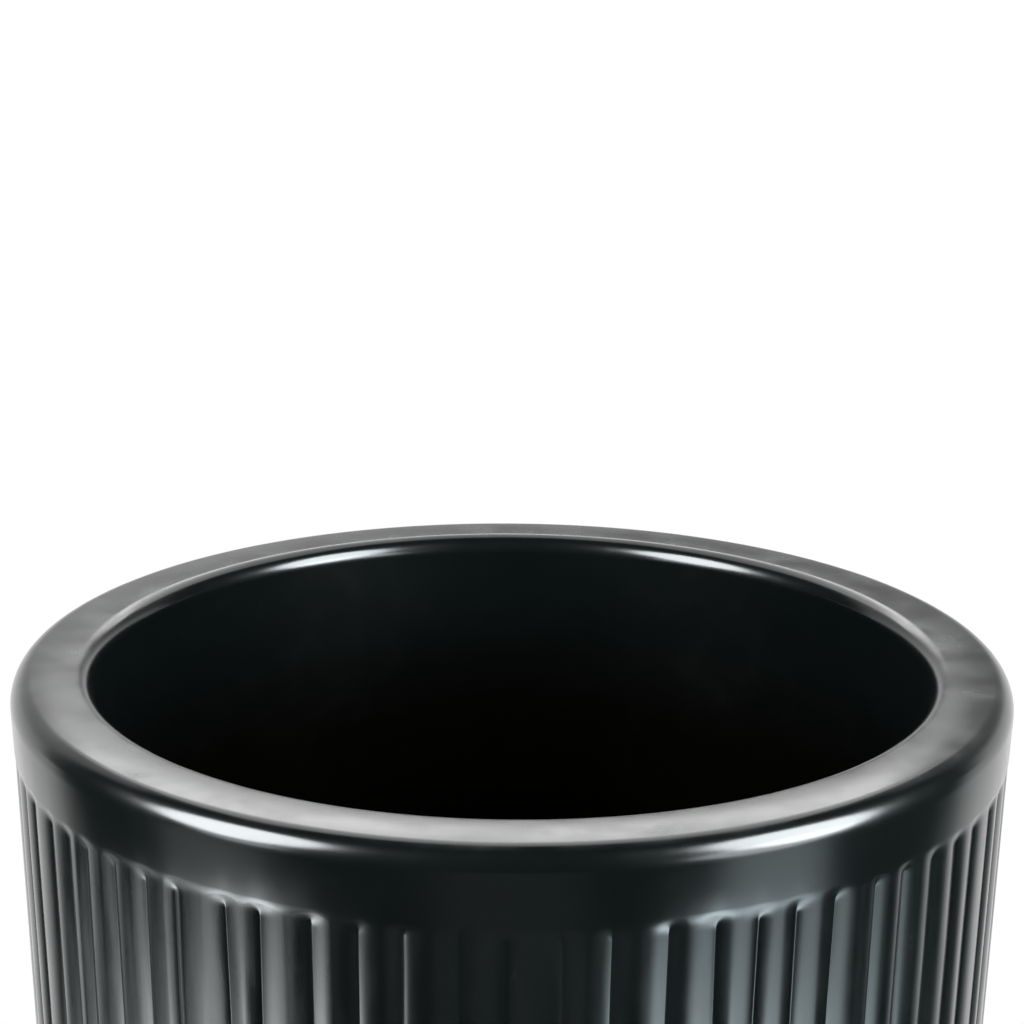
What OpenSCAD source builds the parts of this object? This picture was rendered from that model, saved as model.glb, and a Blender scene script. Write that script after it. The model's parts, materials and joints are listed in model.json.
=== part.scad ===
// Fluted candle jar: one thick-walled vessel on four stick-on foot pads.
// The origin is on the axis, at the level that the pads stand on.

/* [Vessel] */
// Outside diameter at the rim
jar_d = 88; // [70:1:120]
// Height of the vessel without its pads
jar_h = 98.4; // [70:0.1:140]
// Thickness of the wall at the rim
wall = 7; // [4:0.5:9]
// Thickness of the floor over the foot land
floor_t = 9; // [6:0.5:14]
// Slope of the outside wall, which narrows towards the foot
draft = 1.2; // [0:0.1:2.5]
// Rounding of the outer edge of the rim
rim_outer_r = 1.8; // [0.6:0.1:2.4]
// Rounding of the inner edge of the rim
rim_inner_r = 1.8; // [0.6:0.1:2.2]
// Rounding between the inside wall and the floor
floor_r = 7; // [3:0.5:10]

/* [Flutes] */
// Number of flutes round the vessel
flute_count = 74; // [40:1:80]
// Width of one channel between two ribs
channel_w = 1.35; // [0.8:0.05:1.6]
// Depth of one channel
channel_depth = 0.45; // [0.2:0.05:0.6]
// Height of the plain band above the flutes
rim_band_h = 5.6; // [3:0.1:12]
// Height of the plain band below the flutes
heel_band_h = 5.6; // [4:0.1:12]

/* [Foot] */
// Rounding of the heel, where the wall turns under
heel_r = 2.5; // [1:0.1:3.5]
// Width of the flat ring that carries the pads
foot_land_w = 12; // [11:0.5:16]
// Depth of the hollow inside the foot ring
recess_depth = 1.2; // [0.5:0.1:2.5]

/* [Foot pads] */
// Diameter of one pad
pad_d = 9; // [6:0.2:11]
// Thickness of one pad without its adhesive
pad_t = 1.4; // [1:0.1:3]
// Rounding of the edge that a pad stands on
pad_edge_r = 0.5; // [0.2:0.1:0.9]
// How far the adhesive disc stays inside its pad's edge
adhesive_inset = 0.2; // [0.1:0.1:1]
// Thickness of the adhesive disc
adhesive_t = 0.2; // [0.1:0.05:0.4]

/* [Hidden] */
$fn = 96;
arc_steps = 8;

// NODES holds one pad and one adhesive disc for each of these
pad_count = 4;

// Levels, from the standing surface up
foot_z = pad_t + adhesive_t;
rim_z = foot_z + jar_h;
band_z = rim_z - rim_band_h;
heel_z = foot_z + heel_band_h;
floor_z = foot_z + floor_t;

// Radii: the sloped wall leaves the rim's rounding and meets the heel's without a corner
rim_r = jar_d / 2;
bore_r = rim_r - wall;
wall_top_r = rim_r - rim_outer_r * (1 - cos(draft));
wall_top_z = rim_z - rim_outer_r * (1 + sin(draft));
function outside_r(z) = wall_top_r - (wall_top_z - z) * tan(draft);
foot_r = outside_r(foot_z + heel_r * (1 - sin(draft))) - heel_r * cos(draft);
recess_r = foot_r - foot_land_w;
pad_ring_r = foot_r - foot_land_w / 2;

// Points on an arc about [x, z], from angle a to angle b
function arc(x, z, r, a, b) =
    [for (i = [0 : arc_steps]) let (t = a + (b - a) * i / arc_steps) [x + r * cos(t), z + r * sin(t)]];

// Half section of the vessel, from the middle of the foot, round the outside, to the inside floor
vessel_section = concat(
    [[0, foot_z + recess_depth], [recess_r - recess_depth, foot_z + recess_depth], [recess_r, foot_z]],
    arc(foot_r, foot_z + heel_r, heel_r, -90, -draft),
    arc(rim_r - rim_outer_r, rim_z - rim_outer_r, rim_outer_r, -draft, 90),
    arc(bore_r + rim_inner_r, rim_z - rim_inner_r, rim_inner_r, 90, 180),
    arc(bore_r - floor_r, floor_z + floor_r, floor_r, 0, -90),
    [[0, floor_z]]);

// A channel is a shallow slot with round ends, cut square into the sloped wall
slot_run = (band_z - heel_z - channel_w) / cos(draft);
slot_reach = 2;

module channel_slot() {
    translate([outside_r(heel_z + channel_w / 2) - channel_depth, 0, heel_z + channel_w / 2])
        rotate([0, draft, 0])
            rotate([0, 90, 0])
                linear_extrude(height = channel_depth + slot_reach)
                    union() {
                        translate([-slot_run, -channel_w / 2]) square([slot_run, channel_w]);
                        circle(d = channel_w);
                        translate([-slot_run, 0]) circle(d = channel_w);
                    }
}

module jar_body() {
    color([0.05, 0.06, 0.06])
        difference() {
            rotate_extrude() polygon(vessel_section);
            for (i = [0 : flute_count - 1])
                rotate([0, 0, 270 + i * 360 / flute_count]) channel_slot();
        }
}

// Places its children under the foot ring, at the pad with this number
module at_pad(number) {
    rotate([0, 0, 45 + (number - 1) * 360 / pad_count])
        translate([pad_ring_r, 0, 0]) children();
}

module foot_pad(number) {
    color([0.12, 0.12, 0.12])
        at_pad(number)
            rotate_extrude()
                polygon(concat(
                    [[0, 0]],
                    arc(pad_d / 2 - pad_edge_r, pad_edge_r, pad_edge_r, -90, 0),
                    [[pad_d / 2, pad_t], [0, pad_t]]));
}

module pad_adhesive(number) {
    color([0.75, 0.74, 0.7])
        at_pad(number)
            translate([0, 0, pad_t]) cylinder(d = pad_d - 2 * adhesive_inset, h = adhesive_t);
}

jar_body();
for (i = [1 : pad_count]) {
    foot_pad(i);
    pad_adhesive(i);
}
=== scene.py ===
import json
import math
import random

import bmesh
import bpy
from mathutils import Matrix, Vector, noise

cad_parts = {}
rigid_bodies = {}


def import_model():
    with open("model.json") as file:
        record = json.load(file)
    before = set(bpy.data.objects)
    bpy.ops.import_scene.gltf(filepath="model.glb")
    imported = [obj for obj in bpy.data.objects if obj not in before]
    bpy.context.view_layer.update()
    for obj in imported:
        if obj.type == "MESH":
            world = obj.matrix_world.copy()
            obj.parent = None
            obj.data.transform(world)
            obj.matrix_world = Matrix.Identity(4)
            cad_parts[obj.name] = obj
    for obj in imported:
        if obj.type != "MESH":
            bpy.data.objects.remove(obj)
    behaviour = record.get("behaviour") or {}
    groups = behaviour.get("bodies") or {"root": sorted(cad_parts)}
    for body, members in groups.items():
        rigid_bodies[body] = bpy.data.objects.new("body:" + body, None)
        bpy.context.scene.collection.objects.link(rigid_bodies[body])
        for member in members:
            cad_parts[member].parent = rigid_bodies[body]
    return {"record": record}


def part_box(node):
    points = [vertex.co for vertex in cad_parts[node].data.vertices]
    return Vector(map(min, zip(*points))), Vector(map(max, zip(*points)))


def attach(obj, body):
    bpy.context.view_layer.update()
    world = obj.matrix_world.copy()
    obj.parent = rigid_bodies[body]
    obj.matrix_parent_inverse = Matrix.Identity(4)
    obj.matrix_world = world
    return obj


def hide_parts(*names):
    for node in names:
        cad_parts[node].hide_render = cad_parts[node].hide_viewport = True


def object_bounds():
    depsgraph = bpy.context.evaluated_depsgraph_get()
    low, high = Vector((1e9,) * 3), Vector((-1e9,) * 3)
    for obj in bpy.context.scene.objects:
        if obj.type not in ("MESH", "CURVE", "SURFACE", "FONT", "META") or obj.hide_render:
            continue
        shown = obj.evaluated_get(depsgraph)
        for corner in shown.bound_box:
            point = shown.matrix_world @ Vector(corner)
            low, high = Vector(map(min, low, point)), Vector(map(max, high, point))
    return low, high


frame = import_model()
cad_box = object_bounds()

# ---- Jar body -----------------------------------------------------------------------
# The vessel is one thick-walled stoneware pot with a wide flat rim. It is pressed in a
# fluted mould, dipped in satin black glaze and fired, with its foot ring wiped bare.
mm = 0.001
body_low, body_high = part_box("jar_body")
foot_z = body_low[2]
rim_z = body_high[2]
rim_r = body_high[0]
mouth = next(m for m in frame["record"]["mounts"] if m["name"] == "mouth")
bore_r = mouth["dims"]["r_mm"] * mm

draft = math.radians(1.2)
floor_z = foot_z + 9.0 * mm
foot_land = 12.0 * mm
recess_depth = 1.2 * mm
heel_round = 2.5 * mm
floor_round = 7.0 * mm
rim_outer_width = 1.75 * mm
rim_outer_drop = 2.1 * mm
rim_inner_width = 1.5 * mm
rim_inner_drop = 1.8 * mm
flutes_top = rim_z - 5.6 * mm
flutes_foot = foot_z + 5.6 * mm

flute_count = 74
flute_pitch = math.tau * rim_r / flute_count
columns_per_flute = 16
rib_crown = 0.29 * mm
rib_step = 0.06 * mm
step_run = 0.9 * mm
flutes_mid = (flutes_foot + flutes_top) / 2
half_run = (flutes_top - flutes_foot) / 2 - 0.38 * flute_pitch


def outside_r(z):
    """Radius of the sloped outside wall at a level."""
    return rim_r - (rim_z - z) * math.tan(draft)


def rounding(centre, width, drop, start, end, steps):
    """Points (radius, level) along a quarter of an ellipse."""
    points = []
    for i in range(steps + 1):
        turn = math.radians(start + (end - start) * i / steps)
        points.append((centre[0] + width * math.cos(turn), centre[1] + drop * math.sin(turn)))
    return points


def wall_rows():
    """Levels of the rows on the fluted wall: close together at the channels' ends."""
    end_run = 3.2 * mm
    end_steps = 12
    run_steps = 12
    rows = [flutes_foot + end_run * i / end_steps for i in range(end_steps)]
    run = flutes_top - flutes_foot - 2 * end_run
    rows += [flutes_foot + end_run + run * i / run_steps for i in range(run_steps)]
    rows += [flutes_top - end_run * (1 - i / end_steps) for i in range(end_steps + 1)]
    return rows


heel_r = outside_r(foot_z + heel_round) - heel_round
recess_r = heel_r - foot_land
outer_centre = (rim_r - rim_outer_width, rim_z - rim_outer_drop)
inner_centre = (bore_r + rim_inner_width, rim_z - rim_inner_drop)
corner_centre = (bore_r - floor_round, floor_z + floor_round)
section = [(0, foot_z + recess_depth), (recess_r - 2.0 * mm, foot_z + recess_depth)]
section += [(recess_r - 0.6 * mm, foot_z + 0.7 * recess_depth), (recess_r, foot_z + 0.2 * mm)]
section += [(recess_r + 0.4 * mm, foot_z), (heel_r - 1.0 * mm, foot_z)]
section += rounding((heel_r, foot_z + heel_round), heel_round, heel_round, -90, 0, 6)
section += [(outside_r(z), z) for z in wall_rows()]
section += rounding(outer_centre, rim_outer_width, rim_outer_drop, 0, 90, 10)
section += rounding(inner_centre, rim_inner_width, rim_inner_drop, 90, 180, 10)
section += rounding(corner_centre, floor_round, floor_round, 0, -90, 7)
section += [(0, floor_z)]

body_bm = bmesh.new()
outline = [body_bm.verts.new((r, 0, z)) for r, z in section]
for first, second in zip(outline, outline[1:]):
    body_bm.edges.new((first, second))
bmesh.ops.spin(
    body_bm,
    geom=body_bm.verts[:] + body_bm.edges[:],
    cent=(0, 0, 0),
    axis=(0, 0, 1),
    angle=math.tau,
    steps=flute_count * columns_per_flute,
    use_merge=True,
)
bmesh.ops.remove_doubles(body_bm, verts=body_bm.verts[:], dist=0.001 * mm)
bmesh.ops.recalc_face_normals(body_bm, faces=body_bm.faces[:])

# The mould was cut by hand, so each channel has its own place and depth
hand = random.Random(5)
largest_shift = 0.16
channels = []
for _ in range(flute_count):
    shift = max(-largest_shift, min(largest_shift, hand.gauss(0, 0.085)))
    channels.append({"shift": shift, "depth": hand.gauss(1, 0.11)})


def groove_cut(across, past_end, depth):
    """Depth between two round-backed ribs, which meet in a sharp valley with a rounded end."""
    return rib_crown * depth * max(0.0, 1 - 2 * math.hypot(across, max(0.0, past_end))) ** 2


def smooth(value):
    """0 below 0, 1 above 1 and a soft step between them."""
    value = min(1.0, max(0.0, value))
    return value * value * (3 - 2 * value)


for vert in body_bm.verts:
    radius = math.hypot(vert.co.x, vert.co.y)
    if radius < 1 * mm:
        continue
    # Columns are drawn together in the channels, where the surface bends most
    turns = (math.atan2(vert.co.y, vert.co.x) / math.tau - 0.75) * flute_count
    nearest = round(turns)
    offset = turns - nearest
    across = offset * (0.25 + 3 * offset * offset)
    z = vert.co.z
    own = channels[nearest % flute_count]
    # A channel leans most in its middle, so neighbours never cross
    wander = 0.05 * noise.noise(Vector((nearest * 7.3, z / (14 * mm), 0.5)))
    lean = (own["shift"] + wander) * (1 - 4 * across * across)
    angle = ((nearest + across + lean) / flute_count + 0.75) * math.tau
    if radius > outside_r(z) - 0.01 * mm and flutes_foot - 0.1 * mm < z < flutes_top + 0.1 * mm:
        past_end = (abs(z - flutes_mid) - half_run) / flute_pitch
        edge = smooth((flutes_top - z) / step_run) * smooth((z - flutes_foot) / step_run)
        radius -= edge * (rib_step + groove_cut(across, past_end, own["depth"]))
    vert.co.x = radius * math.cos(angle)
    vert.co.y = radius * math.sin(angle)

body_mesh = bpy.data.meshes.new("jar_vessel")
body_bm.to_mesh(body_mesh)
body_bm.free()
body_mesh.shade_smooth()
jar_vessel = bpy.data.objects.new("jar_vessel", body_mesh)
bpy.context.scene.collection.objects.link(jar_vessel)


class Wire:
    """One output of a material's nodes. Arithmetic on wires adds Math nodes."""

    def __init__(self, tree, socket=None):
        self.tree = tree
        self.socket = socket

    def node(self, kind, settings=None, inputs=None, output=0):
        """Adds a node: its settings first, then the values or wires of its inputs."""
        made = self.tree.nodes.new(kind)
        for name, value in (settings or {}).items():
            setattr(made, name, value)
        for name, value in (inputs or {}).items():
            if isinstance(value, Wire):
                self.tree.links.new(value.socket, made.inputs[name])
            else:
                made.inputs[name].default_value = value
        return Wire(self.tree, made.outputs[output])

    def math(self, operation, first, second=0.0):
        return self.node("ShaderNodeMath", {"operation": operation}, {0: first, 1: second})

    def step(self, start, end):
        """A soft step: 0 before start, 1 after end."""
        inputs = {"Value": self, "From Min": start, "From Max": end}
        return self.node("ShaderNodeMapRange", {"interpolation_type": "SMOOTHSTEP"}, inputs)

    def blend(self, first, second):
        """The first colour where this wire is 0 and the second where it is 1."""
        return self.node("ShaderNodeMix", {"data_type": "RGBA"}, {0: self, 6: first, 7: second}, 2)

    def part(self, axis):
        """One of a place's own X, Y and Z."""
        return self.node("ShaderNodeSeparateXYZ", inputs={0: self}, output=axis)

    def length(self):
        return self.node("ShaderNodeVectorMath", {"operation": "LENGTH"}, {0: self}, "Value")

    def spread(self, factors):
        """A place with each axis multiplied, which draws a pattern out along an axis."""
        return self.node("ShaderNodeVectorMath", {"operation": "MULTIPLY"}, {0: self, 1: factors})

    def mottle(self, scale, detail, roughness=0.5):
        """Cloudy noise over a place, from 0 to 1."""
        inputs = {"Vector": self, "Scale": scale, "Detail": detail, "Roughness": roughness}
        return self.node("ShaderNodeTexNoise", inputs=inputs)

    def bump(self, strength, distance):
        """This wire as relief for a shader's Normal."""
        inputs = {"Strength": strength, "Distance": distance, "Height": self}
        return self.node("ShaderNodeBump", inputs=inputs)

    def __add__(self, other):
        return self.math("ADD", self, other)

    def __sub__(self, other):
        return self.math("SUBTRACT", self, other)

    def __rsub__(self, other):
        return self.math("SUBTRACT", other, self)

    def __mul__(self, other):
        return self.math("MULTIPLY", self, other)

    def __truediv__(self, other):
        return self.math("DIVIDE", self, other)

    def __abs__(self):
        return self.math("ABSOLUTE", self)

    __radd__ = __add__
    __rmul__ = __mul__


def new_finish(name):
    """A material with only its output and a Principled shader, and a wire to start from."""
    material = bpy.data.materials.new(name)
    material.use_nodes = True
    tree = material.node_tree
    return material, tree.nodes["Principled BSDF"], Wire(tree)


def wire_up(shader, colour, rough, relief, ior):
    """Feeds a piece's colour, roughness and relief to its shader."""
    colour.tree.links.new(colour.socket, shader.inputs["Base Color"])
    rough.tree.links.new(rough.socket, shader.inputs["Roughness"])
    relief.tree.links.new(relief.socket, shader.inputs["Normal"])
    shader.inputs["IOR"].default_value = ior


glaze, glaze_shader, start = new_finish("satin_black_glaze")
place = start.node("ShaderNodeTexCoord", output="Object")
level = place.part("Z")
clouds = place.mottle(90.0, 4.0)
grain = place.mottle(2600.0, 3.0)
ripple = place.mottle(420.0, 2.0)
smears = place.mottle(260.0, 6.0, 0.62)
fingers = place.mottle(210.0, 2.0, 0.4)
rubs = place.spread((1, 1, 0.22)).mottle(700.0, 2.5, 0.5)

# Where the glaze is: how far below the outside slope, inside the bore, on the rim or off the foot
round_out = start.node("ShaderNodeCombineXYZ", inputs={0: place.part("X"), 1: place.part("Y")})
radius = round_out.length()
under = rim_r - (rim_z - level) * math.tan(draft) - radius
in_bore = 1 - radius.step(bore_r, bore_r + 1 * mm)
painted_deep_shade = in_bore * (1 - level.step(rim_z - 22 * mm, rim_z - 3 * mm))
below = 1 - level.step(flutes_top - 0.5 * mm, flutes_top)
on_ribs = under.step(0.05 * mm, 0.08 * mm) * (1 - under.step(0.16 * mm, 0.30 * mm)) * below
in_valleys = below * under.step(0.30 * mm, 0.40 * mm) * (1 - under.step(0.8 * mm, 1.0 * mm))
on_rim = level.step(rim_z - 0.4 * mm, rim_z - 0.1 * mm)
bare = 1 - (level + clouds * (0.5 * mm)).step(foot_z + 0.55 * mm, foot_z + 0.75 * mm)

# The ribs are rubbed, most of all on the front-left side, where their dust is also painted lighter as
# a sheen
grip_and_sheen_aim = {0: place, 1: (-0.62 / rim_r, -0.78 / rim_r, 0)}
toward_grip_and_sheen = start.node("ShaderNodeVectorMath", {"operation": "DOT_PRODUCT"}, grip_and_sheen_aim, "Value")
handled_and_sheen_side = toward_grip_and_sheen.step(0.90, 0.97)
smudge = fingers.step(0.36, 0.68) * (0.55 + 0.45 * smears.step(0.3, 0.8))
rubbed = on_ribs * (0.055 + 0.08 * handled_and_sheen_side) * (0.45 + 0.75 * rubs.step(0.28, 0.74))
satin = 0.18 + 0.02 * clouds.step(0.35, 0.7) + 0.03 * smears.step(0.45, 0.75) + 0.09 * on_rim * smudge
rough = satin + (rubbed + 0.3 * in_valleys) + bare * 0.55

tint = clouds.blend((0.0012, 0.0020, 0.0020, 1), (0.0016, 0.0025, 0.0023, 1))
# Deep in the bore the glaze colour is painted darker and warmer: painted shade
deep_shaded_tint = painted_deep_shade.blend(tint, (0.0005, 0.0004, 0.0002, 1))
# Lighter dust on the rim's smudges and on the ribs, strongest on the front-left ribs: dust there, and
# painted sheen as well
dust_and_sheen = 0.6 * on_rim * smudge + 0.28 * on_ribs * rubs.step(0.30, 0.75) * (0.3 + 0.7 * handled_and_sheen_side)
dusty = dust_and_sheen.blend(deep_shaded_tint, (0.014, 0.015, 0.015, 1))
clay = smears.step(0.35, 0.7).blend((0.46, 0.40, 0.32, 1), (0.60, 0.54, 0.45, 1))
colour = bare.blend(dusty, clay)
relief = (ripple * 0.6 + grain * 0.12).bump(0.12, 0.05 * mm)
wire_up(glaze_shader, colour, rough, relief, 1.5)
body_mesh.materials.append(glaze)

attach(jar_vessel, "root")
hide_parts("jar_body")

# ---- Pad adhesive -------------------------------------------------------------------
# Each pad is held to the bare clay of the foot ring by a round of thin acrylic film,
# laminated to the silicone sheet before the pads are punched out.
film, film_shader, start = new_finish("acrylic_film")
place = start.node("ShaderNodeTexCoord", output="Object")
haze = place.mottle(900.0, 3.0)
streaks = place.spread((1, 0.2, 1)).mottle(1600.0, 2.0)
colour = haze.step(0.3, 0.7).blend((0.36, 0.32, 0.25, 1), (0.50, 0.46, 0.38, 1))
rough = 0.38 + 0.20 * streaks.step(0.35, 0.65)
wire_up(film_shader, colour, rough, streaks.bump(0.3, 0.03 * mm), 1.47)
for number in range(1, 5):
    bpy.data.objects[f"pad_adhesive_{number}"].material_slots[0].material = film

# ---- Foot pads ----------------------------------------------------------------------
# Four round pads keep the bare foot from scratching a table. They are punched from
# black silicone sheet with a fine matt grain, and pressed on with their film.
rubber, rubber_shader, start = new_finish("black_silicone")
place = start.node("ShaderNodeTexCoord", output="Object")
grain = place.mottle(5200.0, 3.0)
pits = start.node("ShaderNodeTexVoronoi", inputs={"Vector": place, "Scale": 2400.0})
dusty = place.mottle(650.0, 5.0, 0.65).step(0.50, 0.78)
colour = dusty.blend((0.011, 0.011, 0.012, 1), (0.030, 0.029, 0.027, 1))
rough = 0.62 + 0.16 * dusty + 0.08 * grain
relief = (0.7 * pits + 0.3 * grain).bump(0.5, 0.04 * mm)
wire_up(rubber_shader, colour, rough, relief, 1.42)
for number in range(1, 5):
    bpy.data.objects[f"foot_pad_{number}"].material_slots[0].material = rubber

# ---- Studio -------------------------------------------------------------------------
# The jar stands on a pale floor before a white backdrop, inside a small light tent. The
# lamps are soft panels to both sides, a strip behind and a weak panel overhead.
floor_half = 1.5
floor_gap = 0.05 * mm
floor_bm = bmesh.new()
bmesh.ops.create_grid(floor_bm, x_segments=1, y_segments=1, size=floor_half)
bmesh.ops.translate(floor_bm, verts=floor_bm.verts[:], vec=(0, 0, cad_box[0][2] - floor_gap))
floor_mesh = bpy.data.meshes.new("studio_floor")
floor_bm.to_mesh(floor_mesh)
floor_bm.free()
studio_floor = bpy.data.objects.new("studio_floor", floor_mesh)
bpy.context.scene.collection.objects.link(studio_floor)

floor_finish, floor_shader, start = new_finish("studio_floor")
floor_shader.inputs["Base Color"].default_value = (0.8, 0.8, 0.8, 1)
floor_shader.inputs["Roughness"].default_value = 0.9
camera_ray = start.node("ShaderNodeLightPath", output="Is Camera Ray")
glossy_ray = start.node("ShaderNodeLightPath", output="Is Glossy Ray")
place = start.node("ShaderNodeTexCoord", output="Object")
side = place.part("X")
depth = place.part("Y")
away = place.length()


def toward(x, y):
    """How nearly a place on the floor lies in one direction from the jar: 1 is exactly."""
    return (side * x + depth * y) / away


# For glossy rays only, the floor glows as a painted reflection: the tent's white back, two painted
# pools of light on the floor in front of the jar, and a faint one ahead
behind = (depth - abs(side) * 0.4).step(-1.2 * rim_r, 0.6 * rim_r)
near = away.step(1.7 * rim_r, 2.6 * rim_r) * (1 - away.step(3.4 * rim_r, 4.9 * rim_r))
angle = start.math("ARCTAN2", side, depth * -1)
left_rise = 0.12 * angle.step(-1.70, -1.45) + 0.88 * angle.step(-1.30, -0.93)
left_near = (1 - angle.step(-0.90, -0.75)) * left_rise
right_fall = 0.40 * (1 - angle.step(0.95, 1.25)) + 0.60 * (1 - angle.step(0.74, 0.86))
right_near = angle.step(0.60, 0.70) * right_fall
painted_left_pool = near * 13.0 * left_near + 0.7 * toward(-0.883, -0.469).step(0.960, 0.9945)
painted_right_pool = near * 12.5 * right_near + 2.1 * toward(0.812, -0.584).step(0.966, 0.996)
painted_front_pool = 0.14 * toward(0, -1).step(0.94, 0.995)
painted_reflection = 0.03 + 1.2 * behind + painted_left_pool + painted_right_pool + painted_front_pool
coolness = glossy_ray * (1 - behind) * (0.35 + 0.65 * side.step(-0.5 * rim_r, 0.5 * rim_r))
cool = coolness.blend((1, 1, 1, 1), (0.80, 0.95, 1, 1))
brightness = {0: cool, "Scale": camera_ray + glossy_ray * painted_reflection}
shine = start.node("ShaderNodeVectorMath", {"operation": "SCALE"}, brightness)
glow = start.node("ShaderNodeEmission", inputs={"Color": shine})

# Seen directly, the floor takes the jar's shadow close by and is plain white farther out
share = camera_ray * away.step(0.07, 0.13) + glossy_ray
floor_wire = Wire(start.tree, floor_shader.outputs[0])
both = start.node("ShaderNodeMixShader", inputs={0: share, 1: floor_wire, 2: glow})
start.tree.links.new(both.socket, start.tree.nodes["Material Output"].inputs["Surface"])
floor_mesh.materials.append(floor_finish)

world = bpy.data.worlds.new("studio_air")
world.use_nodes = True
bpy.context.scene.world = world
start = Wire(world.node_tree)
camera_ray = start.node("ShaderNodeLightPath", output="Is Camera Ray")
direction = start.node("ShaderNodeTexCoord", output="Generated")
across = direction.part("X")
heading = direction.part("Y")
height = direction.part("Z")
low = 1 - height.step(0.05, 0.28)
dimmer = (across - height * 1.1).step(-0.41, -0.23) * (1 - low)
backdrop = 0.80 - 0.47 * dimmer + 0.35 * low
backdrop = heading.step(0.40, 0.56) * backdrop * (1 - height.step(0.6, 0.9))
brightness = start.math("MAXIMUM", camera_ray, 0.03 + backdrop)
white = start.node("ShaderNodeCombineXYZ", inputs={0: brightness, 1: brightness, 2: brightness})
air = world.node_tree.nodes["Background"]
world.node_tree.links.new(white.socket, air.inputs["Color"])


def panel(name, centre, aim, width, height, radiance, tone=(1, 1, 1), shape="RECTANGLE"):
    """A softbox. Its place, aim and size are in rim radii, from the middle of the rim."""
    lamp = bpy.data.lights.new(name, "AREA")
    lamp.shape = shape
    lamp.size = width * rim_r
    lamp.size_y = height * rim_r
    lamp.energy = radiance * 4 * lamp.size * lamp.size_y
    lamp.color = tone
    holder = bpy.data.objects.new(name, lamp)
    middle = Vector((0, 0, rim_z))
    spot = middle + Vector(centre) * rim_r
    facing = (middle + Vector(aim) * rim_r - spot).to_track_quat("-Z", "Y")
    holder.matrix_world = Matrix.LocRotScale(spot, facing, None)
    holder.visible_camera = False
    bpy.context.scene.collection.objects.link(holder)


left_tone = (0.93, 0.98, 1)
right_tone = (0.9, 0.97, 1)
left_aim = (-0.4, -0.8, 0)
right_aim = (0.4, -0.8, 0)
panel("left_softbox", (-5.5, -3.15, 3.3), left_aim, 4.6, 5.1, 14, left_tone, "ELLIPSE")
panel("left_skirt", (-5.1, -3.7, 0.6), (-0.4, -0.8, 0.6), 2.2, 1.6, 3, right_tone, "ELLIPSE")
panel("right_softbox", (5.6, -3.05, 3.0), right_aim, 4.4, 5.5, 14, right_tone, "ELLIPSE")
panel("right_skirt", (5.1, -3.8, 0.9), (0.4, -0.8, 0.9), 4.2, 2.7, 4.5, right_tone, "ELLIPSE")
panel("back_strip", (-0.1, 4.4, 2.45), (-0.1, 0, 2.45), 3.9, 0.9, 4.0)
panel("top_panel", (0, 2.6, 3.6), (0, -0.5, 0), 5.0, 3.4, 1.6)

# ---- Camera -------------------------------------------------------------------------
# The lens is of about twice the normal length. It stands close in front of the jar, a
# little above the rim, and is tilted down so that the jar fills the width of the view.
camera = bpy.data.cameras.new("camera")
camera.sensor_width = 36
camera.lens = 76.1
camera.clip_start = 0.005
camera_holder = bpy.data.objects.new("camera", camera)
spot = Vector((0, -4.1815 * rim_r, rim_z + 1.4215 * rim_r))
tilt = Matrix.Rotation(math.radians(90 - 15.141), 4, "X")
yaw = Matrix.Rotation(math.radians(0.046), 4, "Z")
roll = Matrix.Rotation(math.radians(0.483), 4, "Z")
camera_holder.matrix_world = Matrix.Translation(spot) @ yaw @ tilt @ roll
bpy.context.scene.collection.objects.link(camera_holder)
bpy.context.scene.camera = camera_holder
bpy.context.scene.view_settings.view_transform = "Standard"
